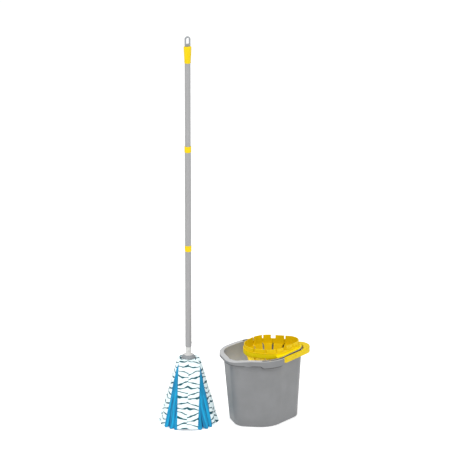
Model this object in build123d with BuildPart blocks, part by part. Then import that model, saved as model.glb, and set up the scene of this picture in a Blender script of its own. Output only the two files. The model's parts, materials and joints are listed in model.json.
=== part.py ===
from build123d import *
import math
import os

os.makedirs("parts", exist_ok=True)

# Bucket: an oval round a large circle at the pivots, a smaller one at the wringer end, and a blunt pouring lip
bucket_height = 260
top_main_radius = 104
top_end_radius = 50
top_end_center = 102
top_lip_end = -128
top_lip_half_width = 76
top_lip_corner = 50
base_main_radius = 90
base_end_radius = 42
base_end_center = 94
base_lip_end = -105
base_lip_half_width = 66
base_lip_corner = 46
bucket_wall = 2.4
bucket_floor = 3
base_edge_radius = 8

# Rim: a turned-over flange with a hanging skirt, dipped at the pouring lip
rim_width = 12
rim_web = 3
rim_skirt_depth = 20
rim_skirt_thickness = 2.4
lip_dip = 9
lip_dip_start = -60

# Ears for the carrying bail, at the widest point of both sides
pivot_drop = 12
pivot_stud_diameter = 9
ear_depth = 28
ear_front = 54
ear_back = -40
ear_corner_radius = 16
bail_slot_back = -30

# Carrying bail, folded down round the wringer end
bail_wall_gap = 2.2
bail_end_gap = 6
bail_skirt_gap = 0.8
bail_bore_clearance = 0.08
bail_height = 20
bail_tang_height = 14
bail_tang_thickness = 4.8
bail_tang_length = 20
bail_eye_radius = 10
bail_shoulder_gap = 4
bail_side_thickness = 7.8
bail_end_radius = 42
bail_end_reach = 31
bail_channel_wall = 2.8
bail_channel_start = 88
bail_rib_thickness = 1.8
bail_rib_count = 5
bail_rib_spread = 60
bail_edge_radius = 2.5
bail_shoulder_radius = 5

# Wringer: an oval collar with a flange over the rim, and a slatted basket that drops into it
collar_end_radius = 43
collar_middle_radius = 78
collar_middle_center = 30
collar_small_radius = 60
collar_small_center = -1
collar_wall = 3
collar_above_rim = 8
collar_below_rim = 6
flange_thickness = 3.5
flange_start = 30
flange_setback = 1
basket_clearance = 0.4
basket_wall = 2.6
basket_bead_height = 3
slat_height = 14
slat_count = 12
slat_gap = 5
wide_gap = 16
wide_gap_turn = 60
drain_slot_width = 6
basket_ledge_depth = 10
basket_ledge_thickness = 3
basket_ledge_width = 5
basket_depth = 124
basket_floor_end_radius = 24
basket_floor_end_center = 52
basket_floor_middle_radius = 29
basket_floor_middle_center = 34
basket_floor_small_radius = 22
basket_floor_small_center = 14
basket_floor_thickness = 3
drain_cup_height = 18
drain_hole_diameter = 7
drain_hole_spacing = 13
drain_hole_columns = 4
drain_hole_rows = 2

# Mop: where it stands beside the bucket, and its heights above the floor
mop_x = -244
mop_y = 70
mop_heading = -109
strip_drop = 237
hub_height = 24
neck_gap = 18
lower_tube_length = 358
middle_tube_length = 346
upper_tube_length = 354
tube_diameter = 22
upper_tube_diameter = 20
tube_wall = 0.8
joint_collar_height = 22
joint_collar_proud = 1
joint_plug_length = 32
joint_stud_diameter = 12
joint_stud_length = 26
joint_socket_length = 34
grip_length = 60
grip_diameter = 27
grip_foot_diameter = 23
grip_top_thickness = 12
grip_dome_radius = 4
loop_width = 20
loop_height = 36
loop_bar = 4.5
loop_thickness = 5
loop_stem_diameter = 9
loop_stem_clearance = 0.08
neck_diameter = 18
neck_plug_length = 40
neck_bore_diameter = 13
neck_rib_count = 10
neck_rib_width = 1.4
neck_rib_height = 0.8
neck_seat_depth = 14
neck_seat_diameter = 15
tongue_width = 7
tongue_thickness = 2.2
tongue_length = 28
tongue_clearance = 0.6
tongue_root_clearance = 0.3
lug_diameter = 6.4
lug_proud = 1.8
lug_hole_clearance = 0.5
lug_rise = 13
hub_top_diameter = 43
hub_bottom_diameter = 54
hub_skin = 3
hub_boss_diameter = 22
hub_rim_width = 7
flute_count = 16
flute_diameter = 6
flute_bite = 1.4
clamp_diameter = 50
clamp_thickness = 3
screw_diameter = 5
screw_length = 14
screw_head_diameter = 10
screw_head_height = 3

# Mop strips: three nested layers of straight strips, wide white ones outside, narrow blue ones under them
bundle_count = 5
white_width = 40
white_thickness = 1.6
white_turn = 11
blue_per_bundle = 3
blue_turn = 12
blue_width = 21
blue_thickness = 2.2
strip_inner_radius = 13
shoulder_start = 31
shoulder_radius = 14
layer_step_out = 0.7
outer_spread = 15.5
spread_step = 0.7
strip_side_gap = 0.4

# Heights and places that follow from the sizes above
pivot_z = bucket_height - pivot_drop
skirt_inner = rim_width - rim_skirt_thickness
bail_inner = top_main_radius + bail_wall_gap
bail_outer_radius = bail_inner + bail_side_thickness
bail_end_center = top_end_center + top_end_radius + bail_end_reach - bail_end_radius
bail_bottom = pivot_z - bail_height / 2
bail_shoulder_x = ear_front + bail_shoulder_gap
collar_top = bucket_height + collar_above_rim
collar_bottom = bucket_height - collar_below_rim
basket_fit = -collar_wall - basket_clearance
basket_top = collar_top + basket_bead_height + slat_height
basket_ledge = bucket_height - basket_ledge_depth
basket_bottom = bucket_height - basket_depth
hub_bottom = strip_drop
hub_top = hub_bottom + hub_height
lower_tube_bottom = hub_top + neck_gap
lower_tube_top = lower_tube_bottom + lower_tube_length
middle_tube_bottom = lower_tube_top + joint_collar_height
middle_tube_top = middle_tube_bottom + middle_tube_length
upper_tube_bottom = middle_tube_top + joint_collar_height
upper_tube_top = upper_tube_bottom + upper_tube_length
grip_top = upper_tube_top + grip_top_thickness
grip_bottom = grip_top - grip_length
tube_bore = tube_diameter - 2 * tube_wall
upper_tube_bore = upper_tube_diameter - 2 * tube_wall
strip_stack = 2 * white_thickness + blue_thickness
clamp_top = hub_bottom - strip_stack
lug_z = lower_tube_bottom + lug_rise
far = 4 * bucket_height

mop_origin = Vector(mop_x, mop_y, 0)
mop_axis = Axis(mop_origin, (0, 0, 1))
mop_section = Plane(origin=mop_origin, x_dir=(1, 0, 0), z_dir=(0, -1, 0))


def mop_plane(height):
    """Level plane across the mop's own axis."""
    return Plane(origin=mop_origin + Vector(0, 0, height))


def wrapped_plan(circles):
    """Closed outline pulled tight round circles that are listed counter-clockwise."""
    following = circles[1:] + circles[:1]
    leave = []
    for (x1, y1, r1), (x2, y2, r2) in zip(circles, following):
        heading = math.atan2(y2 - y1, x2 - x1)
        lean = math.acos((r1 - r2) / math.hypot(x2 - x1, y2 - y1))
        leave.append(math.degrees(heading - lean))
    with BuildSketch() as plan:
        with BuildLine():
            arcs = []
            for index, (x, y, radius) in enumerate(circles):
                sweep = (leave[index] - leave[index - 1]) % 360
                arcs.append(CenterArc((x, y), radius, leave[index - 1], sweep))
            for index, arc in enumerate(arcs):
                Line(arcs[index - 1] @ 1, arc @ 0)
        make_face()
    return plan.sketch


def bucket_plan(height, grow=0):
    """Plan of the bucket's outer wall at one height, grown outward or inward."""
    share = height / bucket_height
    main = base_main_radius + share * (top_main_radius - base_main_radius)
    end = base_end_radius + share * (top_end_radius - base_end_radius)
    end_x = base_end_center + share * (top_end_center - base_end_center)
    corner = base_lip_corner + share * (top_lip_corner - base_lip_corner)
    lip = base_lip_end + share * (top_lip_end - base_lip_end)
    half = base_lip_half_width + share * (top_lip_half_width - base_lip_half_width)
    side = (0, 0, main + grow)
    back_corner = (lip + corner, half - corner, corner + grow)
    front_corner = (lip + corner, corner - half, corner + grow)
    return wrapped_plan([(end_x, 0, end + grow), side, back_corner, front_corner, side])


def collar_plan(grow):
    """Plan of the wringer's collar, grown from its outer face."""
    end = (top_end_center, 0, collar_end_radius + grow)
    middle = (collar_middle_center, 0, collar_middle_radius + grow)
    small = (collar_small_center, 0, collar_small_radius + grow)
    return wrapped_plan([end, middle, small, middle])


def basket_floor_plan(grow):
    """Plan of the basket's small oval floor, grown from its outer face."""
    end = (basket_floor_end_center, 0, basket_floor_end_radius + grow)
    middle = (basket_floor_middle_center, 0, basket_floor_middle_radius + grow)
    small = (basket_floor_small_center, 0, basket_floor_small_radius + grow)
    return wrapped_plan([end, middle, small, middle])


def rim_profile(drop):
    """Side view under the rim's top face, which falls away towards the pouring lip."""
    lip_x = top_lip_end - rim_width
    with BuildSketch(Plane.XZ) as side:
        with BuildLine():
            level = Line((far, bucket_height - drop), (lip_dip_start, bucket_height - drop))
            sag = TangentArc(level @ 1, (lip_x, bucket_height - lip_dip - drop), tangent=(-1, 0))
            Polyline(sag @ 1, (-far, bucket_height - lip_dip - drop), (-far, -far), (far, -far), level @ 0)
        make_face()
    return side.sketch


# Space inside the hanging rim, between the wall and the skirt
with BuildPart() as rim_space:
    with BuildSketch(Plane.XY.offset(bucket_height - ear_depth)):
        add(bucket_plan(bucket_height, skirt_inner))
    extrude(amount=ear_depth)
    extrude(rim_profile(rim_web), amount=far, both=True, mode=Mode.INTERSECT)

# Ears: two deeper stretches of the skirt, rounded at their lower corners
with BuildPart() as ears:
    with BuildSketch(Plane.XY.offset(bucket_height - ear_depth)):
        add(bucket_plan(bucket_height, rim_width))
    extrude(amount=ear_depth)
    with BuildSketch(Plane.XZ) as ear_side:
        with Locations(((ear_front + ear_back) / 2, bucket_height)):
            Rectangle(ear_front - ear_back, ear_depth, align=(Align.CENTER, Align.MAX))
        fillet(ear_side.vertices().group_by(Axis.Y)[0], radius=ear_corner_radius)
    extrude(amount=far, both=True, mode=Mode.INTERSECT)

# Rim flange with its skirt, kept from the pouring lip to the front of the ears
with BuildPart() as rim:
    with BuildSketch(Plane.XY.offset(bucket_height - rim_skirt_depth)):
        add(bucket_plan(bucket_height, rim_width))
        with Locations((ear_front, 0)):
            Rectangle(far, far, align=(Align.MIN, Align.CENTER), mode=Mode.SUBTRACT)
    extrude(amount=rim_skirt_depth)
    add(ears.part)
    add(rim_space.part, mode=Mode.SUBTRACT)
    with BuildSketch(Plane.XY.offset(bucket_height - rim_web)):
        add(bucket_plan(bucket_height, skirt_inner))
        with Locations((bail_slot_back, 0)):
            Rectangle(far, far, align=(Align.MAX, Align.CENTER), mode=Mode.SUBTRACT)
    extrude(amount=rim_web, mode=Mode.SUBTRACT)
    extrude(rim_profile(0), amount=far, both=True, mode=Mode.INTERSECT)

# Inside of the bucket
with BuildPart() as bucket_cavity:
    with BuildSketch(Plane.XY.offset(bucket_floor)):
        add(bucket_plan(bucket_floor, -bucket_wall))
    with BuildSketch(Plane.XY.offset(bucket_height + bucket_floor)):
        add(bucket_plan(bucket_height + bucket_floor, -bucket_wall))
    loft(ruled=True)

with BuildPart() as bucket_body:
    with BuildSketch():
        add(bucket_plan(0))
    with BuildSketch(Plane.XY.offset(bucket_height)):
        add(bucket_plan(bucket_height))
    loft(ruled=True)
    fillet(bucket_body.faces().sort_by(Axis.Z)[0].edges(), radius=base_edge_radius)
    extrude(rim_profile(0), amount=far, both=True, mode=Mode.INTERSECT)
    add(rim.part)
    with BuildSketch(Plane.XZ.offset(-top_main_radius - rim_width + rim_skirt_thickness / 2)):
        with Locations((0, pivot_z)):
            Circle(pivot_stud_diameter / 2)
    extrude(amount=2 * top_main_radius + 2 * rim_width - rim_skirt_thickness)
    add(bucket_cavity.part, mode=Mode.SUBTRACT)
bucket_body.part.label = "bucket_body"
export_step(bucket_body.part, "parts/bucket_body.step")


def bail_plan(start, shrink):
    """Plan of the bail's crescent beyond a start line, shrunk from both its faces."""
    side = (0, 0, bail_outer_radius - shrink)
    end = (bail_end_center, 0, bail_end_radius - shrink)
    inner_side = (0, 0, bail_inner + shrink)
    inner_end = (top_end_center, 0, top_end_radius + bail_end_gap + shrink)
    with BuildSketch() as plan:
        add(wrapped_plan([end, side]))
        add(wrapped_plan([inner_end, inner_side]), mode=Mode.SUBTRACT)
        with Locations((start, 0)):
            Rectangle(far, far, align=(Align.MAX, Align.CENTER), mode=Mode.SUBTRACT)
    return plan.sketch


# Bail: a crescent, channelled from below and ribbed at the grip, with a bent arm and an eye at both ends
with BuildPart() as bail_handle:
    with BuildSketch(Plane.XY.offset(bail_bottom)):
        add(bail_plan(bail_shoulder_x, 0))
    extrude(amount=bail_height)
    shoulders = bail_handle.edges().filter_by(Axis.Z).group_by(Axis.X)[0].sort_by(Axis.Y)
    fillet([shoulders[0], shoulders[-1]], radius=bail_shoulder_radius)
    fillet(bail_handle.faces().sort_by(Axis.Z)[-1].outer_wire().edges(), radius=bail_edge_radius)
    with BuildSketch(Plane.XY.offset(bail_bottom)):
        add(bail_plan(bail_channel_start, bail_channel_wall))
        with Locations((top_end_center, 0)):
            with PolarLocations(0, bail_rib_count, -bail_rib_spread / 2, bail_rib_spread, endpoint=True):
                Rectangle(far, bail_rib_thickness, align=(Align.MIN, Align.CENTER), mode=Mode.SUBTRACT)
    extrude(amount=bail_height - bail_channel_wall, mode=Mode.SUBTRACT)
    with BuildSketch(Plane.XY.offset(pivot_z - bail_tang_height / 2)):
        add(bucket_plan(bucket_height, skirt_inner - bail_skirt_gap))
        add(bucket_plan(bucket_height, bail_wall_gap), mode=Mode.SUBTRACT)
        with Locations((bail_tang_length, 0)):
            Rectangle(far, far, align=(Align.MAX, Align.CENTER), mode=Mode.SUBTRACT)
        with Locations((bail_shoulder_x + bail_shoulder_radius, 0)):
            Rectangle(far, far, align=(Align.MIN, Align.CENTER), mode=Mode.SUBTRACT)
    extrude(amount=bail_tang_height)
    for side in (-1, 1):
        tang_face = Plane(origin=(0, side * bail_inner, pivot_z), x_dir=(1, 0, 0), z_dir=(0, side, 0))
        with BuildSketch(tang_face):
            Rectangle(bail_tang_length, bail_tang_height, align=(Align.MIN, Align.CENTER))
            Circle(bail_eye_radius)
        extrude(amount=bail_tang_thickness)
    with BuildSketch(Plane.XZ.offset(-far / 2)):
        with Locations((0, pivot_z)):
            Circle(pivot_stud_diameter / 2 + bail_bore_clearance)
    extrude(amount=far, mode=Mode.SUBTRACT)
bail_handle.part.label = "bail_handle"
export_step(bail_handle.part, "parts/bail_handle.step")

# Wringer collar: an upright oval band and a flange that rests on the bucket's round end
with BuildPart() as wringer_collar:
    with BuildSketch(Plane.XY.offset(collar_bottom)):
        add(collar_plan(0))
        add(collar_plan(-collar_wall), mode=Mode.SUBTRACT)
    extrude(amount=collar_top - collar_bottom)
    with BuildSketch(Plane.XY.offset(bucket_height)):
        add(bucket_plan(bucket_height, -flange_setback))
        with Locations((flange_start, 0)):
            Rectangle(far, far, align=(Align.MAX, Align.CENTER), mode=Mode.SUBTRACT)
        add(collar_plan(-collar_wall), mode=Mode.SUBTRACT)
    extrude(amount=flange_thickness)
wringer_collar.part.label = "wringer_collar"
export_step(wringer_collar.part, "parts/wringer_collar.step")

# Hollow of the basket, straight at the mouth and conical below its ledge
with BuildPart() as basket_hollow:
    with BuildSketch(Plane.XY.offset(basket_bottom + basket_floor_thickness)):
        add(basket_floor_plan(-basket_wall))
    with BuildSketch(Plane.XY.offset(basket_ledge + basket_ledge_thickness)):
        add(collar_plan(basket_fit - basket_ledge_width - basket_wall))
    loft(ruled=True)
    with BuildSketch(Plane.XY.offset(basket_ledge + basket_ledge_thickness)):
        add(collar_plan(basket_fit - basket_wall))
    extrude(amount=basket_top - basket_ledge - basket_ledge_thickness)

# Basket: wide slats stand above its bead, a ledge steps inward, and a slotted cone runs down to a small cup
with BuildPart() as wringer_basket:
    with BuildSketch(Plane.XY.offset(basket_bottom)):
        add(basket_floor_plan(0))
    with BuildSketch(Plane.XY.offset(basket_ledge)):
        add(collar_plan(basket_fit - basket_ledge_width))
    loft(ruled=True)
    with BuildSketch(Plane.XY.offset(basket_ledge)):
        add(collar_plan(basket_fit))
    extrude(amount=basket_top - basket_ledge)
    with BuildSketch(Plane.XY.offset(collar_top)):
        add(collar_plan(0))
    extrude(amount=basket_bead_height)
    add(basket_hollow.part, mode=Mode.SUBTRACT)
    with BuildSketch(Plane.XY.offset(collar_top + basket_bead_height)):
        with Locations((basket_floor_middle_center, 0)):
            with PolarLocations(0, slat_count):
                Rectangle(far, slat_gap, align=(Align.MIN, Align.CENTER))
            with PolarLocations(0, 2, -wide_gap_turn, 2 * wide_gap_turn, endpoint=True):
                Rectangle(far, wide_gap, align=(Align.MIN, Align.CENTER))
    extrude(amount=slat_height, mode=Mode.SUBTRACT)
    with BuildSketch(Plane.XY.offset(basket_bottom + drain_cup_height)):
        with Locations((basket_floor_middle_center, 0)):
            with PolarLocations(0, slat_count):
                Rectangle(far, drain_slot_width, align=(Align.MIN, Align.CENTER))
    extrude(amount=basket_ledge - basket_bottom - drain_cup_height, mode=Mode.SUBTRACT)
    with BuildSketch(Plane.XY.offset(basket_bottom)):
        with Locations((basket_floor_middle_center, 0)):
            with GridLocations(drain_hole_spacing, drain_hole_spacing, drain_hole_columns, drain_hole_rows):
                Circle(drain_hole_diameter / 2)
    extrude(amount=basket_floor_thickness, mode=Mode.SUBTRACT)
wringer_basket.part.label = "wringer_basket"
export_step(wringer_basket.part, "parts/wringer_basket.step")


# Handle tubes, each a thin-walled round tube
tubes = {
    "lower_tube": (lower_tube_bottom, lower_tube_top, tube_diameter),
    "middle_tube": (middle_tube_bottom, middle_tube_top, tube_diameter),
    "upper_tube": (upper_tube_bottom, upper_tube_top, upper_tube_diameter),
}
for name, (bottom, top, diameter) in tubes.items():
    with BuildPart() as tube:
        with BuildSketch(mop_plane(bottom)):
            Circle(diameter / 2)
            Circle(diameter / 2 - tube_wall, mode=Mode.SUBTRACT)
        extrude(amount=top - bottom)
        if name == "lower_tube":
            lug_side = Plane(origin=mop_origin + Vector(0, 0, lug_z), x_dir=(0, 1, 0), z_dir=(1, 0, 0))
            with BuildSketch(lug_side):
                Circle(lug_diameter / 2 + lug_hole_clearance)
            extrude(amount=diameter, mode=Mode.SUBTRACT)
    tube.part.label = name
    export_step(tube.part, f"parts/{name}.step")

# Screw joints: a yellow collar with a plug below and a stud above, and a socket in the next tube
joints = {
    "lower_joint": (lower_tube_top, tube_bore, tube_bore),
    "upper_joint": (middle_tube_top, tube_bore, upper_tube_bore),
}
for name, (bottom, bore_below, bore_above) in joints.items():
    top = bottom + joint_collar_height
    with BuildPart() as joint_collar:
        with BuildSketch(mop_plane(bottom)):
            Circle(tube_diameter / 2 + joint_collar_proud)
        extrude(amount=joint_collar_height)
        chamfer(joint_collar.edges(), length=joint_collar_proud)
        with BuildSketch(mop_plane(bottom)):
            Circle(bore_below / 2)
        extrude(amount=-joint_plug_length)
        with BuildSketch(mop_plane(top)):
            Circle(joint_stud_diameter / 2)
        extrude(amount=joint_stud_length)
    joint_collar.part.label = f"{name}_collar"
    export_step(joint_collar.part, f"parts/{name}_collar.step")
    with BuildPart() as joint_socket:
        with BuildSketch(mop_plane(top)):
            Circle(bore_above / 2)
            Circle(joint_stud_diameter / 2, mode=Mode.SUBTRACT)
        extrude(amount=joint_socket_length)
    joint_socket.part.label = f"{name}_socket"
    export_step(joint_socket.part, f"parts/{name}_socket.step")

# Grip: a waisted sleeve with a domed top over the upper tube's end
with BuildPart() as grip_cap:
    with BuildSketch(mop_section):
        with BuildLine():
            wall_bottom = (upper_tube_diameter / 2, grip_bottom)
            foot = (grip_foot_diameter / 2, grip_bottom)
            shoulder = (grip_diameter / 2, grip_top - grip_dome_radius)
            Spline(foot, shoulder, tangents=((0, 1), (0, 1)))
            dome_center = (grip_diameter / 2 - grip_dome_radius, grip_top - grip_dome_radius)
            dome = CenterArc(dome_center, grip_dome_radius, 0, 90)
            Polyline(dome @ 1, (0, grip_top), (0, upper_tube_top))
            Polyline((0, upper_tube_top), (upper_tube_diameter / 2, upper_tube_top), wall_bottom, foot)
        make_face()
    revolve(axis=mop_axis)
    with BuildSketch(mop_plane(grip_top)):
        Circle(loop_stem_diameter / 2 + loop_stem_clearance)
    extrude(amount=-grip_top_thickness, mode=Mode.SUBTRACT)
grip_cap.part.label = "grip_cap"
export_step(grip_cap.part, "parts/grip_cap.step")

# Hanging loop: a flat arch on a round stem that turns in the grip
with BuildPart() as hanger_loop:
    loop_face = Plane(origin=mop_origin + Vector(0, 0, grip_top), x_dir=(1, 0, 0), z_dir=(0, -1, 0))
    arch_z = loop_height - loop_width / 2
    with BuildSketch(loop_face):
        with Locations((0, arch_z)):
            Circle(loop_width / 2)
            Rectangle(loop_width, arch_z, align=(Align.CENTER, Align.MAX))
            Circle(loop_width / 2 - loop_bar, mode=Mode.SUBTRACT)
            Rectangle(
                loop_width - 2 * loop_bar,
                arch_z - 2 * loop_bar,
                align=(Align.CENTER, Align.MAX),
                mode=Mode.SUBTRACT,
            )
    extrude(amount=loop_thickness / 2, both=True)
    with BuildSketch(mop_plane(grip_top)):
        Circle(loop_stem_diameter / 2)
    extrude(amount=-grip_top_thickness)
hanger_loop.part.label = "hanger_loop"
export_step(hanger_loop.part, "parts/hanger_loop.step")

tongue_bottom = lug_z + lug_diameter - tongue_length
tongue_face = neck_bore_diameter / 2
tongue_middle = tongue_face + tongue_thickness / 2
tongue_seat = tongue_bottom - tongue_root_clearance

# Neck: a ribbed socket whose plug fills the tube's end, slotted for the spring tongue
with BuildPart() as neck_socket:
    with BuildSketch(mop_plane(hub_top)):
        Circle(neck_diameter / 2)
        with PolarLocations(neck_diameter / 2, neck_rib_count):
            Rectangle(2 * neck_rib_height, neck_rib_width)
    extrude(amount=neck_gap)
    with BuildSketch(mop_plane(lower_tube_bottom)):
        Circle(tube_bore / 2)
    extrude(amount=neck_plug_length)
    with BuildSketch(mop_plane(hub_top)):
        Circle(neck_seat_diameter / 2)
    extrude(amount=-neck_seat_depth)
    with BuildSketch(mop_plane(tongue_seat)):
        Circle(neck_bore_diameter / 2)
    extrude(amount=far, mode=Mode.SUBTRACT)
    with BuildSketch(mop_plane(tongue_seat)):
        Rectangle(tube_diameter, tongue_width + 2 * tongue_clearance, align=(Align.MIN, Align.CENTER))
    extrude(amount=far, mode=Mode.SUBTRACT)
neck_socket.part.label = "neck_socket"
export_step(neck_socket.part, "parts/neck_socket.step")

# Spring tongue: rocks on its rounded root in the slot, with a round lug that clicks into the tube's hole
with BuildPart() as snap_tongue:
    with BuildSketch(mop_section):
        with Locations((tongue_middle, tongue_bottom + tongue_thickness / 2)):
            Circle(tongue_thickness / 2)
            Rectangle(
                tongue_thickness,
                tongue_length - tongue_thickness / 2,
                align=(Align.CENTER, Align.MIN),
            )
    extrude(amount=tongue_width / 2, both=True)
    lug_face = Plane(
        origin=mop_origin + Vector(tongue_face, 0, lug_z),
        x_dir=(0, 1, 0),
        z_dir=(1, 0, 0),
    )
    with BuildSketch(lug_face):
        Circle(lug_diameter / 2)
    extrude(amount=tube_diameter / 2 + lug_proud - tongue_face)
    fillet(snap_tongue.faces().sort_by(Axis.X)[-1].edges(), radius=lug_proud / 2)
snap_tongue.part.label = "snap_tongue"
export_step(snap_tongue.part, "parts/snap_tongue.step")

# Hub: a fluted cap with a clamping rim, and a centre boss for the neck and the screw
with BuildPart() as head_hub:
    with BuildSketch(mop_section):
        with BuildLine():
            Polyline(
                (0, hub_top),
                (hub_top_diameter / 2, hub_top),
                (hub_bottom_diameter / 2, hub_bottom),
                (hub_bottom_diameter / 2 - hub_rim_width, hub_bottom),
                (hub_top_diameter / 2 - hub_rim_width, hub_top - hub_skin),
                (hub_boss_diameter / 2, hub_top - hub_skin),
                (hub_boss_diameter / 2, clamp_top),
                (0, clamp_top),
                close=True,
            )
        make_face()
    revolve(axis=mop_axis)
    with BuildSketch(mop_plane(hub_bottom)):
        with PolarLocations(hub_bottom_diameter / 2 + flute_diameter / 2 - flute_bite, flute_count):
            Circle(flute_diameter / 2)
    extrude(amount=hub_height, mode=Mode.SUBTRACT)
    with BuildSketch(mop_plane(hub_top)):
        Circle(neck_seat_diameter / 2)
    extrude(amount=-neck_seat_depth, mode=Mode.SUBTRACT)
    with BuildSketch(mop_plane(clamp_top)):
        Circle(screw_diameter / 2)
    extrude(amount=screw_length - clamp_thickness, mode=Mode.SUBTRACT)
head_hub.part.label = "head_hub"
export_step(head_hub.part, "parts/head_hub.step")

# Clamp plate: presses the strips up against the hub's rim
with BuildPart() as clamp_plate:
    with BuildSketch(mop_plane(clamp_top)):
        Circle(clamp_diameter / 2)
        Circle(screw_diameter / 2, mode=Mode.SUBTRACT)
    extrude(amount=-clamp_thickness)
    chamfer(clamp_plate.edges().sort_by(Axis.Z)[:2].sort_by(SortBy.RADIUS)[-1], length=clamp_thickness / 2)
clamp_plate.part.label = "clamp_plate"
export_step(clamp_plate.part, "parts/clamp_plate.step")

with BuildPart() as clamp_screw:
    with BuildSketch(mop_plane(clamp_top - clamp_thickness)):
        Circle(screw_head_diameter / 2)
    extrude(amount=-screw_head_height)
    with BuildSketch(mop_plane(clamp_top - clamp_thickness)):
        Circle(screw_diameter / 2)
    extrude(amount=screw_length)
clamp_screw.part.label = "clamp_screw"
export_step(clamp_screw.part, "parts/clamp_screw.step")


def strip_plan(width, half_wedge):
    """Plan of one strip: gathered to a wedge at the hub, then straight-sided to its end."""
    start = width / 2 / math.tan(math.radians(half_wedge))
    return Polyline((0, 0), (start, width / 2), (far, width / 2), (far, -width / 2), (start, -width / 2), close=True)


def write_strip(name, turn, layer, drop, thickness, width, half_wedge):
    """One mop strip: level in the clamp, bent over the shoulder, then straight down to the floor."""
    center = shoulder_start - layer * (layer_step_out + white_thickness)
    top = hub_bottom - drop
    spread = math.radians(outer_spread - layer * spread_step)
    slope = Vector(math.sin(spread), -math.cos(spread))
    normal = Vector(math.cos(spread), math.sin(spread))
    pivot = Vector(center, top - shoulder_radius)
    half_turn = math.radians((90 - math.degrees(spread)) / 2)
    middle = Vector(math.sin(half_turn), math.cos(half_turn))
    faces = []
    for radius in (shoulder_radius, shoulder_radius - thickness):
        bend_end = pivot + normal * radius
        run = bend_end.Y / math.cos(spread)
        faces.append((radius, bend_end, bend_end + slope * run))
    azimuth = Plane(origin=mop_origin, x_dir=(math.cos(math.radians(turn)), math.sin(math.radians(turn)), 0))
    section = Plane(origin=mop_origin, x_dir=-azimuth.x_dir, z_dir=azimuth.y_dir)
    with BuildPart() as strip:
        with BuildSketch(section):
            with BuildLine():
                outer_radius, outer_bend, outer_foot = faces[0]
                inner_radius, inner_bend, inner_foot = faces[1]
                upper = Line((strip_inner_radius, top), (center, top))
                ThreePointArc(upper @ 1, pivot + middle * outer_radius, outer_bend)
                Polyline(outer_bend, outer_foot, inner_foot, inner_bend)
                lower_end = Vector(center, top - thickness)
                ThreePointArc(inner_bend, pivot + middle * inner_radius, lower_end)
                Polyline(lower_end, (strip_inner_radius, top - thickness), upper @ 0)
            make_face()
        revolve(axis=mop_axis)
        with BuildSketch(azimuth):
            with BuildLine():
                strip_plan(width, half_wedge)
            make_face()
        extrude(amount=far, mode=Mode.INTERSECT)
    strip.part.label = name
    export_step(strip.part, f"parts/{name}.step")


bundle_turn = 360 / bundle_count
side_gap_turn = math.degrees(strip_side_gap / strip_inner_radius) / 2
white_wedge = bundle_turn / 2 - side_gap_turn
blue_wedge = blue_turn / 2 - side_gap_turn
for bundle in range(bundle_count):
    for layer, lean in enumerate((white_turn, -white_turn)):
        write_strip(
            f"white_strip_{2 * bundle + layer + 1:02d}",
            mop_heading + bundle_turn * bundle + lean,
            layer,
            layer * white_thickness,
            white_thickness,
            white_width,
            white_wedge,
        )
    for index in range(blue_per_bundle):
        lean = (index - (blue_per_bundle - 1) / 2) * blue_turn
        write_strip(
            f"blue_strip_{blue_per_bundle * bundle + index + 1:02d}",
            mop_heading + bundle_turn * (bundle + 0.5) + lean,
            2,
            2 * white_thickness,
            blue_thickness,
            blue_width,
            blue_wedge,
        )
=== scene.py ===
# %% [markdown]
# # A strip mop beside its bucket and wringer
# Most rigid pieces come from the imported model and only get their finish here. The wringer's basket and the
# mop's cap get finer copies, and the mop's soft strips are modelled as sheets of cloth, because a limp strip
# is a thin wavy sheet and not a stiff plate.
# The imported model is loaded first: everything that follows sits in its frame, in metres.

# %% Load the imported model
import bmesh
import bpy
import json
import math
from mathutils import Matrix, Vector


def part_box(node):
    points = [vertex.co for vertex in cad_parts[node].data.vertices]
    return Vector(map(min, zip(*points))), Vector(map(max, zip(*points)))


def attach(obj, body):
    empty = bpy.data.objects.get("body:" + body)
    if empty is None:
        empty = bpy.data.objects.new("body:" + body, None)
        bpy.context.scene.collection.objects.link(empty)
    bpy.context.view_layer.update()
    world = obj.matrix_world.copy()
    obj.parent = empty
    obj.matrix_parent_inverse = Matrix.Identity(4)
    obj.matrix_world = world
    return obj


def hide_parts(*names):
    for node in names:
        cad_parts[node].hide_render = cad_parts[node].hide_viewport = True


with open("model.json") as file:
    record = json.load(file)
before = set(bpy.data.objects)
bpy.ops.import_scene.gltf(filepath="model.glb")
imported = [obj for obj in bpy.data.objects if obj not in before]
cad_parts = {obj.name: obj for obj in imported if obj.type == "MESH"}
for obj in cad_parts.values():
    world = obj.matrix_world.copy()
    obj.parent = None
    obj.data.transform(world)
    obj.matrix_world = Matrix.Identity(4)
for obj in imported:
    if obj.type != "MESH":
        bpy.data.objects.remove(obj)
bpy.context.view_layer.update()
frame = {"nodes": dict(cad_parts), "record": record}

# %% [markdown]
# ## Camera
# The photograph was taken from far away with a long lens, so that verticals stay parallel. An orthographic
# camera would do the same, but a perspective camera with a very long lens also serves the other views.
# The picture's scale is a real size: the 22 mm handle tube is 6.3 pixels wide, so a pixel is 3.5 mm.

# %% Camera at the photograph's angle
picture_pixels = 470
metres_per_pixel = 0.0035
camera_turn = math.radians(-19)
camera_height = math.radians(20.5)
camera_distance = 20.0
aim_point = Vector((-0.0844, 0.0295, 0.692))

towards_camera = Vector((
    math.sin(camera_turn) * math.cos(camera_height),
    -math.cos(camera_turn) * math.cos(camera_height),
    math.sin(camera_height),
))
camera_data = bpy.data.cameras.new("camera")
camera = bpy.data.objects.new("camera", camera_data)
bpy.context.scene.collection.objects.link(camera)
camera.location = aim_point + towards_camera * camera_distance
camera.rotation_euler = towards_camera.to_track_quat("Z", "Y").to_euler()
camera_data.lens = camera_data.sensor_width * camera_distance / (picture_pixels * metres_per_pixel)
camera_data.clip_end = 4 * camera_distance
bpy.context.scene.camera = camera
print("lens", round(camera_data.lens), "mm")

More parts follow.
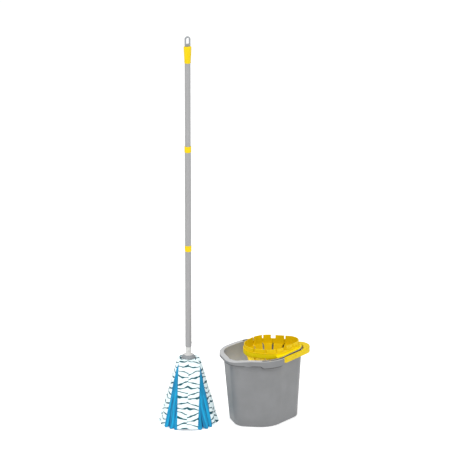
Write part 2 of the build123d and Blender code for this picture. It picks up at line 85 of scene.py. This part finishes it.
# %% [markdown]
# ## Studio
# A catalogue photograph has a white sweep and big soft lamps. One large pale floor, a bright even sky and
# three wide area lamps give that: the lamps are large, so that shadows stay soft and highlights broad.
# A small fourth lamp low in the bucket lights its inside, which is as light as its outside in the photograph.

# %% Floor and lamps
floor_size = 60.0
# Each lamp: place, width in metres, power in watts
lamps = {
    "key_lamp": ((-1.6, -2.6, 3.8), 2.2, 95),
    "fill_lamp": ((2.6, -2.8, 2.4), 3.0, 12),
    "top_lamp": ((-0.2, 0.5, 4.2), 2.4, 60),
    "bucket_lamp": ((-0.050, 0.0, 0.090), 0.05, 0.50),
}
sky_brightness = 0.55

floor_mesh = bpy.data.meshes.new("floor")
floor_builder = bmesh.new()
bmesh.ops.create_grid(floor_builder, x_segments=1, y_segments=1, size=floor_size / 2)
floor_builder.to_mesh(floor_mesh)
floor_builder.free()
floor = bpy.data.objects.new("floor", floor_mesh)
bpy.context.scene.collection.objects.link(floor)

for lamp_name, (place, size, power) in lamps.items():
    lamp_data = bpy.data.lights.new(lamp_name, "AREA")
    lamp_data.size = size
    lamp_data.energy = power
    lamp = bpy.data.objects.new(lamp_name, lamp_data)
    bpy.context.scene.collection.objects.link(lamp)
    lamp.visible_camera = False
    lamp.location = place
    lamp.rotation_euler = (Vector(place) - aim_point).to_track_quat("Z", "Y").to_euler()

sky = bpy.data.worlds.new("studio_sky")
sky.use_nodes = True
sky.node_tree.nodes["Background"].inputs["Color"].default_value = (1, 1, 1, 1)
sky.node_tree.nodes["Background"].inputs["Strength"].default_value = sky_brightness
bpy.context.scene.world = sky
bpy.context.scene.view_settings.view_transform = "Standard"
print("lamps:", len(lamps))

# %% [markdown]
# ## Shader maths in plain expressions
# A finish is a small graph of nodes. Wiring every Math node by hand hides the idea, so one class wraps a
# socket and lets it be added and multiplied like a number, and its node method makes any other node.

# %% A socket that can be reckoned with
# Places of the colour sockets among those of a Mix node
mix_share, mix_first, mix_second, mix_result = 0, 6, 7, 2


class Signal:
    """One output of a node tree. Operators add Math nodes, and node() adds any other node."""

    def __init__(self, tree, socket=None):
        self.tree = tree
        self.socket = socket

    def node(self, kind, settings, sockets, output=0):
        made = self.tree.nodes.new(kind)
        for name, value in settings.items():
            setattr(made, name, value)
        for key, value in sockets.items():
            if isinstance(value, Signal):
                self.tree.links.new(value.socket, made.inputs[key])
            else:
                made.inputs[key].default_value = value
        return Signal(self.tree, made.outputs[output])

    def math(self, operation, first, second=0.0):
        return self.node("ShaderNodeMath", {"operation": operation}, {0: first, 1: second})

    def __add__(self, other):
        return self.math("ADD", self, other)

    def __sub__(self, other):
        return self.math("SUBTRACT", self, other)

    def __rsub__(self, other):
        return self.math("SUBTRACT", other, self)

    def __mul__(self, other):
        return self.math("MULTIPLY", self, other)

    def __rmul__(self, other):
        return self.math("MULTIPLY", other, self)

    def size(self):
        """The value without its sign."""
        return self.math("ABSOLUTE", self)

    def axis(self, letter):
        """One coordinate of this vector."""
        return self.node("ShaderNodeSeparateXYZ", {}, {"Vector": self}, letter)

    def ramp(self, low, high):
        """Nought below low, one above high, and smooth between them."""
        settings = {"interpolation_type": "SMOOTHSTEP"}
        return self.node("ShaderNodeMapRange", settings, {"Value": self, "From Min": low, "From Max": high})

    def tint(self, dark, light):
        """A colour from dark, where this is nought, to light, where it is one."""
        sockets = {mix_share: self, mix_first: dark, mix_second: light}
        return self.node("ShaderNodeMix", {"data_type": "RGBA"}, sockets, mix_result)

    def noise(self, scale, detail=2.0, stretch=(1, 1, 1)):
        """Noise over this vector, which is stretched first."""
        spread = self.node("ShaderNodeMapping", {"vector_type": "POINT"}, {"Vector": self, "Scale": stretch})
        return self.node("ShaderNodeTexNoise", {}, {"Vector": spread, "Scale": scale, "Detail": detail})

    def bump(self, strength, distance, **links):
        """A normal that this height field dents."""
        sockets = {"Strength": strength, "Distance": distance, "Height": self}
        sockets.update((label.title(), signal) for label, signal in links.items())
        return self.node("ShaderNodeBump", {}, sockets)


def new_finish(name):
    """A fresh material, a Signal to start its graph from, and its shader."""
    material = bpy.data.materials.new(name)
    material.use_nodes = True
    return material, Signal(material.node_tree), material.node_tree.nodes["Principled BSDF"]


def object_place(start):
    """The place on the object, in metres."""
    return start.node("ShaderNodeTexCoord", {}, {}, "Object")


def wire(shader, **links):
    """Joins signals to the shader's varying sockets."""
    for label, signal in links.items():
        socket = shader.inputs[label.replace("_", " ").title()]
        signal.tree.links.new(signal.socket, socket)


def shade(colour, share):
    """A colour made darker or lighter by a share, with full alpha."""
    return tuple(share * part for part in colour) + (1.0,)


print("shader helpers ready")

# %% [markdown]
# ## Moulded plastic
# The bucket, the yellow wringer parts and the grips are injection moulded. Such a surface is never quite
# even: the colour clouds a little, a fine grain breaks up the gloss, the edges are rounded by the mould
# and the parts that touch the floor get scuffed. The rounding is a Bevel node, which softens the edges
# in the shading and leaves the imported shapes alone.

# %% Moulded plastic
cloud_scale = 16.0
cloud_edges = (0.3, 0.7)
scratch_scale = 90.0
scratch_stretch = (1, 1, 0.15)
scratch_edges = (0.56, 0.70)
dull_share, bright_share = 0.93, 1.05
# How much each kind of unevenness adds to the roughness
cloud_rough, grain_rough, scuff_rough = 0.14, 0.08, 0.15
grain_strength = 0.10
grain_depth = 0.0004


def moulded_plastic(name, colour, roughness, gloss, grain_scale, edge_radius, scuff_height):
    """Clouded and grained plastic, scuffed up to a height above the floor."""
    material, start, shader = new_finish(name)
    place = object_place(start)
    clouds = place.noise(cloud_scale, 3.0)
    grain = place.noise(grain_scale)
    scratches = place.noise(scratch_scale, 4.0, scratch_stretch).ramp(*scratch_edges)
    scuffs = scratches * (1 - place.axis("Z").ramp(0.0, scuff_height))
    mix = clouds.ramp(*cloud_edges) * 0.85 + scuffs * 0.5
    # Noise is a half on average, so the middle roughness comes out as asked
    smooth = roughness - 0.5 * (cloud_rough + grain_rough)
    rounded = start.node("ShaderNodeBevel", {"samples": 4}, {"Radius": edge_radius}, "Normal")
    wire(
        shader,
        base_color=mix.tint(shade(colour, dull_share), shade(colour, bright_share)),
        roughness=clouds * cloud_rough + grain * grain_rough + scuffs * scuff_rough + smooth,
        normal=(grain + scuffs * 0.5).bump(grain_strength, grain_depth, normal=rounded),
    )
    shader.inputs["Specular IOR Level"].default_value = gloss
    return material


def yellow_plastic(name, colour):
    return moulded_plastic(
        name, colour, roughness=0.38, gloss=0.12, grain_scale=1300.0, edge_radius=0.0007, scuff_height=0.010
    )


plastics = {
    "bucket_plastic": moulded_plastic(
        "bucket_grey", (0.205, 0.209, 0.214),
        roughness=0.40, gloss=0.30, grain_scale=900.0, edge_radius=0.0011, scuff_height=0.030,
    ),
    "yellow_plastic": yellow_plastic("wringer_yellow", (0.760, 0.555, 0.004)),
    "grey_plastic": moulded_plastic(
        "cap_grey", (0.275, 0.293, 0.308),
        roughness=0.45, gloss=0.30, grain_scale=1100.0, edge_radius=0.0005, scuff_height=0.010,
    ),
    "neck_plastic": moulded_plastic(
        "neck_white", (0.640, 0.640, 0.625),
        roughness=0.48, gloss=0.30, grain_scale=1000.0, edge_radius=0.0004, scuff_height=0.010,
    ),
}
# Copies of one yellow with painted light and shade: the collar lighter as lit on top, the basket darker
# and more orange as shaded inside the wringer, and the bail a little darker than the other yellow parts
lit_and_shaded_yellows = {
    "wringer_collar": yellow_plastic("collar_yellow", (0.900, 0.700, 0.003)),
    "wringer_basket": yellow_plastic("basket_yellow", (0.800, 0.560, 0.002)),
    "bail_handle": yellow_plastic("bail_yellow", (0.730, 0.530, 0.003)),
}
print("plastics:", sorted(plastics), "own shades:", sorted(lit_and_shaded_yellows))

# %% [markdown]
# ## Painted light on the bucket's rim
# A painted highlight lightens the rim's top edge, and a painted shade darkens the lower edge of its skirt.
# Both could be painted on a UV map, but the imported bucket has none. They are reckoned from the place on
# the bucket: the top edge is a height that falls away towards the pouring lip, and a rounded oval in plan,
# which lies between the skirt and the wall, tells the two apart.

# %% Paint a highlight on the top edge and a shade under the skirt
bucket_low, bucket_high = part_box("bucket_body")
rim_height = bucket_high.z
lip_dip_start = -0.060
lip_dip_length = lip_dip_start - bucket_low.x
lip_dip_depth = 0.009
# Painted highlight: the light colour that the rim's top edge is lifted to
rim_highlight_colour = (0.56, 0.565, 0.57, 1)
rim_highlight_share = 0.75
# Depths under the top edge where the painted highlight starts and where it is full
highlight_start, highlight_full = 0.0022, 0.0006
skirt_depth = 0.020
ear_back = -0.038
ear_front = 0.052
ear_corner = 0.014
ear_drop = 0.008
ear_blur = 0.003
oval_middle = -0.0188
oval_length = 0.1077
oval_width = 0.1023
oval_power = 2.66
oval_blur = 0.02
# Painted shade: the dark colour laid along the skirt's lower edge
skirt_shade_colour = (0.045, 0.046, 0.048, 1)
skirt_shade_share = 0.8
# Heights about the skirt's edge between which the painted shade comes in, and then fades out
shade_in = (-0.0040, -0.0020)
shade_out = (0.0016, 0.0036)


def cover(material, share, colour):
    """Lays another colour over the material's own, by a share that varies."""
    shader = material.node_tree.nodes["Principled BSDF"]
    own_colour = Signal(material.node_tree, shader.inputs["Base Color"].links[0].from_socket)
    wire(shader, base_color=share.tint(own_colour, colour))


# Painted highlight: the rim's top edge is lightened for the light that catches it
def paint_rim_highlight(material):
    start = Signal(material.node_tree)
    place = object_place(start)
    past = start.math("MAXIMUM", (lip_dip_start - place.axis("X")) * (1 / lip_dip_length), 0.0)
    level = place.axis("Z") + past * past * lip_dip_depth
    cover(material, level.ramp(rim_height - highlight_start, rim_height - highlight_full) * rim_highlight_share, rim_highlight_colour)


# Painted shade: a dark band along the skirt's lower edge, where shadow falls under the rim
def paint_skirt_shade(material):
    start = Signal(material.node_tree)
    place = object_place(start)
    along = place.axis("X")
    long = start.math("POWER", ((along - oval_middle) * (1 / oval_length)).size(), oval_power)
    wide = start.math("POWER", (place.axis("Y") * (1 / oval_width)).size(), oval_power)
    outside = (long + wide).ramp(1 - oval_blur, 1 + oval_blur)
    on_skirt = outside * (1 - along.ramp(ear_front, ear_front + ear_blur))
    # The skirt hangs lower at the ears
    skirt_edge = rim_height - skirt_depth - along.ramp(ear_back, ear_back + ear_corner) * ear_drop
    above_edge = place.axis("Z") - skirt_edge
    low = above_edge.ramp(*shade_in) * (1 - above_edge.ramp(*shade_out))
    cover(material, on_skirt * low * skirt_shade_share, skirt_shade_colour)


paint_rim_highlight(plastics["bucket_plastic"])
paint_skirt_shade(plastics["bucket_plastic"])
# The printed height is the rim's top edge, along which the highlight is painted
print("rim worn at", round(rim_height, 3), "m")

# %% [markdown]
# ## Lacquered tube and zinc screw
# The handle is thin steel tube with a clear grey lacquer. Drawing leaves fine lines along the tube, so the
# noise is stretched along its length. The screw is zinc plated: bare metal with a cloudy, spangled gloss.

# %% Tube lacquer and zinc
drawn_scale = 700.0
drawn_stretch = (1, 1, 0.012)
drawn_strength = 0.08
drawn_depth = 0.0002
tube_cloud_scale = 9.0
rub_scale = 60.0
rub_stretch = (1, 1, 0.3)
rub_edges = (0.58, 0.72)
tube_dark = (0.285, 0.285, 0.289, 1)
tube_light = (0.375, 0.375, 0.379, 1)
tube_gloss = 0.22
spangle_scale = 700.0
zinc_dark = (0.48, 0.48, 0.49, 1)
zinc_light = (0.66, 0.66, 0.67, 1)


def tube_lacquer():
    material, start, shader = new_finish("tube_lacquer")
    place = object_place(start)
    drawn = place.noise(drawn_scale, 3.0, drawn_stretch)
    clouds = place.noise(tube_cloud_scale, 3.0)
    rub = place.noise(rub_scale, 4.0, rub_stretch).ramp(*rub_edges)
    mix = drawn * 0.55 + clouds * 0.35 + rub * 0.15
    wire(
        shader,
        base_color=mix.tint(tube_dark, tube_light),
        roughness=drawn * 0.12 + rub * 0.15 + 0.36,
        normal=drawn.bump(drawn_strength, drawn_depth),
    )
    shader.inputs["Specular IOR Level"].default_value = tube_gloss
    return material


def zinc_plate():
    material, start, shader = new_finish("zinc_plate")
    sockets = {"Vector": object_place(start), "Scale": spangle_scale}
    spangle = start.node("ShaderNodeTexVoronoi", {}, sockets, "Color")
    grey = start.node("ShaderNodeRGBToBW", {}, {"Color": spangle})
    wire(
        shader,
        base_color=grey.tint(zinc_dark, zinc_light),
        roughness=grey * 0.2 + 0.25,
    )
    shader.inputs["Metallic"].default_value = 1.0
    return material


finishes = dict(plastics, tube_paint=tube_lacquer(), screw_steel=zinc_plate())
print("finishes:", sorted(finishes))

# %% [markdown]
# ## Finishing the imported pieces
# The record says which finish each node takes, so one loop dresses all the rigid pieces. The collar, the
# basket and the bail take their own copies of the yellow, with painted light and shade.

# %% Dress the rigid nodes
soft_slots = ("white_fibre", "blue_fibre")
node_slots = {row["node"]: row["material_slot"] for row in frame["record"]["subparts"]}
for node_name, slot_name in node_slots.items():
    if slot_name in soft_slots:
        continue
    mesh = frame["nodes"][node_name].data
    mesh.materials.clear()
    mesh.materials.append(lit_and_shaded_yellows.get(node_name, finishes[slot_name]))
print("dressed:", sum(slot not in soft_slots for slot in node_slots.values()))

# %% [markdown]
# ## Slits of the wringer basket
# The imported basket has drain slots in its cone, and gaps between the slats of its crown. In the photograph
# the slits run on from the crown to the cup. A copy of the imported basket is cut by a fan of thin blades,
# which keeps every other surface as it was packed. The cup at the foot stays whole, and so does the crown.

# %% Slit a copy of the basket
slit_count = 12
slit_width = 0.0045
slit_start = 0.018
slit_reach = 0.200
cup_height = 0.018
fan_middle = Vector((0.034, 0.0, 0.0))
blade_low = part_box("wringer_basket")[0].z + cup_height
blade_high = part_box("wringer_collar")[1].z

blade_builder = bmesh.new()
for index in range(slit_count):
    blade = bmesh.ops.create_cube(blade_builder, size=1.0)["verts"]
    turn = Matrix.Rotation(2 * math.pi * index / slit_count, 4, "Z")
    for corner in blade:
        flat = Vector((
            slit_start + (corner.co.x + 0.5) * (slit_reach - slit_start),
            corner.co.y * slit_width,
            blade_low + (corner.co.z + 0.5) * (blade_high - blade_low),
        ))
        corner.co = fan_middle + turn @ flat
blade_mesh = bpy.data.meshes.new("slit_blades")
blade_builder.to_mesh(blade_mesh)
blade_builder.free()
blades = bpy.data.objects.new("slit_blades", blade_mesh)
bpy.context.scene.collection.objects.link(blades)

basket = bpy.data.objects.new("slit_basket", frame["nodes"]["wringer_basket"].data.copy())
bpy.context.scene.collection.objects.link(basket)
cut = basket.modifiers.new("slits", "BOOLEAN")
cut.operation = "DIFFERENCE"
cut.solver = "EXACT"
cut.object = blades
bpy.context.view_layer.update()
cut_mesh = bpy.data.meshes.new_from_object(basket.evaluated_get(bpy.context.evaluated_depsgraph_get()))
basket.modifiers.clear()
basket.data = cut_mesh
bpy.data.objects.remove(blades)
cut_mesh.materials.clear()
cut_mesh.materials.append(lit_and_shaded_yellows["wringer_basket"])
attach(basket, "wringer")
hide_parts("wringer_basket")
print("slit basket faces:", len(cut_mesh.polygons))

# %% [markdown]
# ## The toothed cap
# The cap over the strips is low and flared in the photograph, with a ragged, toothed skirt, and the pale neck
# runs down into it. Its profile is turned round the handle, and every ring is pushed in and out by a wave that
# grows towards the skirt. A boolean with 16 cutters would do the same, but with untidy faces.

# %% Profile of the cap
tooth_count = 16
tooth_depth = 0.0030
tooth_rise = 0.0030
turn_steps = tooth_count * 12
cap_height = 0.0125
sleeve_radius = 0.0094
sleeve_bore = 0.0080
tube_low, tube_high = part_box("lower_tube")
hub_low, hub_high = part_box("head_hub")
mop_middle = (tube_low + tube_high) / 2
skirt_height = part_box("white_strip_01")[1].z
skirt_radius = (hub_high.x - hub_low.x) / 2
sleeve_height = hub_high.z - skirt_height
# Each ring: radius, height above the skirt, share of the tooth wave
sleeve_rings = [
    (sleeve_bore, sleeve_height, 0), (sleeve_radius, sleeve_height, 0), (sleeve_radius, cap_height, 0),
]
cap_rings = [
    (0.0165, cap_height - 0.0002, 0.15), (0.0185, cap_height - 0.0014, 0.3),
    (0.0212, 0.55 * cap_height, 0.6), (skirt_radius - 0.0012, 0.0012, 1.0),
    (skirt_radius, 0.0, 1.0), (skirt_radius - 0.0020, 0.0002, 1.0),
    (0.0160, cap_height - 0.0035, 0.2), (sleeve_bore, cap_height - 0.0030, 0),
]
print("rings:", len(sleeve_rings) + len(cap_rings))

# %% Turn the cap
cap_builder = bmesh.new()
rings = []
for radius, rise, share in sleeve_rings + cap_rings:
    ring = []
    for step in range(turn_steps):
        angle = 2 * math.pi * step / turn_steps
        wave = 0.5 - 0.5 * math.cos(tooth_count * angle)
        out = radius - tooth_depth * share * wave
        up = skirt_height + rise + tooth_rise * wave * share ** 3
        ring.append(cap_builder.verts.new((
            mop_middle.x + out * math.cos(angle), mop_middle.y + out * math.sin(angle), up
        )))
    rings.append(ring)
for lower, upper in zip(rings, rings[1:] + rings[:1]):
    for step in range(turn_steps):
        following = (step + 1) % turn_steps
        cap_builder.faces.new((lower[step], lower[following], upper[following], upper[step]))
bmesh.ops.recalc_face_normals(cap_builder, faces=cap_builder.faces[:])
cap_builder.faces.ensure_lookup_table()
for index, face in enumerate(cap_builder.faces):
    face.smooth = True
    face.material_index = 1 if index < len(sleeve_rings) * turn_steps else 0
cap_mesh = bpy.data.meshes.new("toothed_cap")
cap_builder.to_mesh(cap_mesh)
cap_builder.free()
cap_mesh.materials.append(finishes["grey_plastic"])
cap_mesh.materials.append(finishes["neck_plastic"])
cap = bpy.data.objects.new("toothed_cap", cap_mesh)
bpy.context.scene.collection.objects.link(cap)
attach(cap, "mop")
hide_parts("head_hub")
print("cap faces:", len(cap_mesh.polygons))

# %% [markdown]
# ## Cloth for the strips
# The strips are non-woven microfibre: a felt of very fine threads, fuzzy in the light. The white ones carry
# wavy dark bands across them. The bands are reckoned on the strip's own UV map, which is measured in
# metres along the cloth, so they follow every bend. Noise shifts them, so that no two strips agree.

# %% Felt of threads
thread_scale = 1500.0
thread_stretch = (1, 0.25, 1)
lump_scale = 220.0
felt_strength = 0.35
felt_depth = 0.0008


def felt(start):
    """Place along the cloth, distance across it, threads, lumps and the bump that the last two make."""
    along = start.node("ShaderNodeUVMap", {"uv_map": "strip_cloth"}, {})
    over = start.node("ShaderNodeUVMap", {"uv_map": "strip_width"}, {})
    threads = along.noise(thread_scale, 3.0, thread_stretch)
    lumps = along.noise(lump_scale)
    bumps = (threads * 0.7 + lumps * 0.5).bump(felt_strength, felt_depth)
    return along, over.axis("X"), threads, lumps, bumps


print("felt ready")

# %% White cloth with wavy bands
white_dark = (0.73, 0.895, 0.93, 1)
white_light = (0.88, 0.99, 1.0, 1)
white_sheen = 0.1
stripe_colour = (0.003, 0.080, 0.105, 1)
stripe_pitch = 0.019
stripe_tilt = 21.0
# Half a stripe as a share of the pitch, its least and its varying share of that, and its soft edge
stripe_half = 0.18
least_half, varied_half = 0.5, 0.7
stripe_edge = (0.70, 1.05)
# The noise that shifts and tilts the stripes, and the noise that swells them
drift_scale = 24.0
stripe_drift = 1.1
tilt_drift = 4.0
swell_scale = 55.0
swell_stretch = (1, 0.6, 1)
swell_edges = (0.3, 0.75)


def white_cloth():
    material, start, shader = new_finish("white_microfibre")
    along, across, threads, lumps, bumps = felt(start)
    down = along.axis("Y")
    drift = along.noise(drift_scale, 1.0)
    swell = along.noise(swell_scale, 1.0, swell_stretch)
    tilt = start.math("SINE", down * (math.pi / (2 * stripe_pitch)) + drift * tilt_drift)
    turns = down * (1 / stripe_pitch) + tilt * across * stripe_tilt + (drift - 0.5) * stripe_drift
    away = (start.math("FRACT", turns) - 0.5).size()
    half = stripe_half * (swell.ramp(*swell_edges) * varied_half + least_half)
    stripe = 1 - start.math("DIVIDE", away, half).ramp(*stripe_edge)
    plain = (threads * 0.6 + lumps * 0.4).tint(white_dark, white_light)
    wire(
        shader,
        base_color=stripe.tint(plain, stripe_colour),
        roughness=threads * 0.15 + 0.8,
        normal=bumps,
    )
    shader.inputs["Sheen Weight"].default_value = white_sheen
    return material


finishes["white_fibre"] = white_cloth()
print("white cloth ready, stripes every", stripe_pitch, "m")

# %% Blue cloth with painted shade at its edges and painted light and shade along its folds
blue_width = 0.024
blue_dark = (0.000, 0.032, 0.140, 1)
blue_light = (0.000, 0.420, 0.740, 1)
# Shares of the width, from the middle, between which a painted shade darkens a strip where it folds
shade_edge_start, shade_edge_end = 0.30, 0.52
# Painted light and shade in lengthwise streaks, for the folds of the strips
fold_shade_scale = 260.0
fold_shade_stretch = (1, 0.05, 1)
fold_shade_edges = (0.32, 0.68)


def blue_cloth():
    material, start, shader = new_finish("blue_microfibre")
    along, across, threads, lumps, bumps = felt(start)
    # Painted light and shade: lengthwise streaks for the folds, and darker edges where a strip curls away
    fold_shade = along.noise(fold_shade_scale, 2.0, fold_shade_stretch).ramp(*fold_shade_edges)
    unshaded_middle = 1 - across.size().ramp(shade_edge_start * blue_width, shade_edge_end * blue_width)
    mix = unshaded_middle * (fold_shade * 0.55 + threads * 0.25 + lumps * 0.10 + 0.15)
    wire(
        shader,
        base_color=mix.tint(blue_dark, blue_light),
        roughness=threads * 0.15 + 0.78,
        normal=bumps,
    )
    return material


finishes["blue_fibre"] = blue_cloth()
print("blue cloth ready, strips", blue_width, "m wide")

# %% [markdown]
# ## The path of a strip
# Every strip is clamped level under the cap, bends over a rounded shoulder and hangs down, spread outward,
# to the floor. That line is worked out once, by distance along the cloth, from the cap's place in the frame.

# %% Path from the clamp to the floor
clamp_radius = 0.013
shoulder_start = 0.031
shoulder_radius = 0.014
strip_spread = math.radians(15.5)
foot_height = 0.0012
shoulder_top = skirt_height
level_length = shoulder_start - clamp_radius
bend_length = shoulder_radius * (math.pi / 2 - strip_spread)
bend_end = level_length + bend_length
bend_low = shoulder_top - shoulder_radius + shoulder_radius * math.sin(strip_spread)
hang_length = (bend_low - foot_height) / math.cos(strip_spread)
strip_length = level_length + bend_length + hang_length


def strip_path(distance):
    """Radius, height and outward direction in the upright plane at a distance along the cloth."""
    if distance < level_length:
        return clamp_radius + distance, shoulder_top, (0.0, 1.0)
    turned = min((distance - level_length) / shoulder_radius, math.pi / 2 - strip_spread)
    outward = (math.sin(turned), math.cos(turned))
    radius = shoulder_start + shoulder_radius * outward[0]
    height = shoulder_top - shoulder_radius + shoulder_radius * outward[1]
    run = max(0.0, distance - level_length - bend_length)
    return radius + run * math.sin(strip_spread), height - run * math.cos(strip_spread), outward


def ease(value, low, high):
    """Nought below low, one above high, and smooth between them."""
    share = min(1.0, max(0.0, (value - low) / (high - low)))
    return share * share * (3 - 2 * share)


print("strip length", round(strip_length, 4), "m")

# %% [markdown]
# ## One strip of cloth
# A strip starts as a flat grid, like the cloth as it is cut. Each point is then laid along the path: the
# cloth is gathered at the clamp, curls a little across its width and ripples as it hangs. A simulation
# would also do, but 25 of them would take minutes and the stiff felt of the photograph hardly sags.

# %% Place a point of a strip
gather_start = 0.004
gathered_share = 0.42
least_reach = 0.3
sway_waves = 17
# How far a strip's own phase shifts its ripples, its sway and its pattern
ripple_shift, sway_shift, pattern_shift = 40, 31, 0.37


def place_point(style, side, share_down, lateral, phase):
    """Depth from the handle, distance across and height of a point, side being -1 to 1 over the width."""
    trim = style["trim"] + style["round_end"] * side * side + style["slant"] * side
    distance = share_down * (strip_length - max(0.0, trim))
    radius, height, outward = strip_path(distance)
    gather = gathered_share + (1 - gathered_share) * ease(distance, gather_start, bend_end)
    hang = ease(distance, level_length, bend_end)
    low = max(0.0, distance - level_length - bend_length) / hang_length
    ripple = math.sin(distance * style["ripples"] + phase * ripple_shift) * style["ripple"] * low
    curl = style["curl"] * (hang + low) * (math.cos(side * style["pleats"] * math.pi) - 0.5)
    risen = ease(distance, bend_end, bend_end + style["rise"])
    lift = (style["level"] - style["under"] * (1 - risen)) * hang + ripple + curl
    radius += outward[0] * lift
    height = max(foot_height, height - style["sunk"] * (1 - hang) + outward[1] * lift * (1 - low))
    sway = math.sin(distance * sway_waves + phase * sway_shift) * style["sway"] * low
    across = (lateral + 0.5 * side * style["width"]) * gather + sway + style["veer"] * (0.5 - low) * hang
    reach = math.sqrt(max(radius * radius - across * across, (least_reach * radius) ** 2))
    return radius - style["hug"] * (radius - reach), across, height


print("strips are gathered to", gathered_share, "of their width")


# %% Lay one strip
def lay_strip(node_name, style, azimuth, lateral, phase):
    """A wavy sheet that stands for one packed strip."""
    width = style["width"]
    builder = bmesh.new()
    cloth_uv = builder.loops.layers.uv.new("strip_cloth")
    width_uv = builder.loops.layers.uv.new("strip_width")
    bmesh.ops.create_grid(
        builder, x_segments=style["across"], y_segments=style["along"], size=0.5, calc_uvs=False
    )
    for face in builder.faces:
        for corner in face.loops:
            flat = corner.vert.co
            down = (flat.y + 0.5) * strip_length
            corner[cloth_uv].uv = (flat.x * width + phase, down + phase * pattern_shift)
            corner[width_uv].uv = (flat.x * width, down)
    for point in builder.verts:
        depth, across, height = place_point(style, 2 * point.co.x, point.co.y + 0.5, lateral, phase)
        point.co = (
            mop_middle.x + depth * math.cos(azimuth) - across * math.sin(azimuth),
            mop_middle.y + depth * math.sin(azimuth) + across * math.cos(azimuth),
            height,
        )
    bmesh.ops.recalc_face_normals(builder, faces=builder.faces[:])
    for face in builder.faces:
        face.smooth = True
    mesh = bpy.data.meshes.new(f"cloth_{node_name}")
    builder.to_mesh(mesh)
    builder.free()
    strip = bpy.data.objects.new(f"cloth_{node_name}", mesh)
    bpy.context.scene.collection.objects.link(strip)
    felt_layer = strip.modifiers.new("felt", "SOLIDIFY")
    felt_layer.thickness = style["thickness"]
    felt_layer.offset = 0.0
    mesh.materials.append(finishes[style["slot"]])
    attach(strip, "mop")
    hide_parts(node_name)
    return strip


print("strip maker ready")

# %% [markdown]
# ## The mop head
# Five pairs of wide white strips alternate with five bundles of three narrow blue ones. The front pair lies
# flat and side by side over its neighbours, and the blue strips lie pleated between the white pairs. What
# the strips have in common is written once, and each kind only says where it differs.

# %% Kinds of strip
plain_style = {
    "pleats": 1.0, "hug": 1.0, "veer": 0.0, "round_end": 0.0, "slant": 0.0, "trim": 0.0,
    "sunk": 0.0, "under": 0.0, "rise": 0.03, "along": 90,
}
white_style = dict(
    plain_style, slot="white_fibre", width=0.040, thickness=0.0011, across=12, level=-0.0012,
    curl=0.0008, ripple=0.0012, ripples=60.0, sway=0.0012, slant=0.003,
)
front_style = dict(
    white_style, level=0.0034, hug=0.35, curl=0.0004, ripple=0.0004, slant=0.0, veer=0.007, trim=0.006
)
blue_style = dict(
    plain_style, slot="blue_fibre", width=blue_width, thickness=0.0014, across=14, level=0.0008,
    curl=0.0016, ripple=0.0010, ripples=45.0, sway=0.0015, round_end=0.005, sunk=0.0045, under=0.0028,
)
tucked_style = dict(blue_style, level=-0.0060)
print("kinds of strip: white, front, blue, tucked")

# %% Hang the strips
bundle_count = 5
bundle_turn = 2 * math.pi / bundle_count
front_bundles = (0, bundle_count - 1)
mop_heading = math.radians(-109)
white_lean = math.radians(11)
white_layer = 0.0016
white_phase = 0.113
front_offset = 0.0178
front_layer = 0.0014
blue_step = math.radians(12)
blue_layer = 0.0018
blue_phase = 0.071

strips = []
for bundle in range(bundle_count):
    heading = mop_heading + bundle_turn * bundle
    for index, side in enumerate((1, -1)):
        number = 2 * bundle + index
        if bundle == 0:
            style = dict(front_style, level=front_style["level"] - front_layer * index)
            azimuth, lateral = heading, side * front_offset
        else:
            style = dict(white_style, level=white_style["level"] - white_layer * index)
            azimuth, lateral = heading + side * white_lean, 0.0
        strips.append(lay_strip(f"white_strip_{number + 1:02d}", style, azimuth, lateral, white_phase * number))
    for index in range(3):
        number = 3 * bundle + index
        base_style = blue_style if bundle in front_bundles else tucked_style
        style = dict(base_style, level=base_style["level"] + blue_layer * (index % 2))
        azimuth = heading + bundle_turn / 2 + (index - 1) * blue_step
        strips.append(lay_strip(f"blue_strip_{number + 1:02d}", style, azimuth, 0.0, blue_phase * number))
print("strips:", len(strips))

# %% [markdown]
# ## Floor finish
# The floor is plain and pale, and glows a little, as a lit sweep does. A very faint unevenness keeps it from
# looking like a computer's white.

# %% Pale floor
floor_glow = 0.42
floor_cloud_scale = 0.8
floor_dark = (0.90, 0.90, 0.90, 1)
floor_light = (0.94, 0.94, 0.94, 1)
floor_roughness = 0.9


def pale_floor():
    material, start, shader = new_finish("pale_floor")
    cloud = object_place(start).noise(floor_cloud_scale)
    wire(shader, base_color=cloud.tint(floor_dark, floor_light))
    shader.inputs["Roughness"].default_value = floor_roughness
    shader.inputs["Emission Color"].default_value = (1, 1, 1, 1)
    shader.inputs["Emission Strength"].default_value = floor_glow
    return material


floor.data.materials.append(pale_floor())
print("floor done")
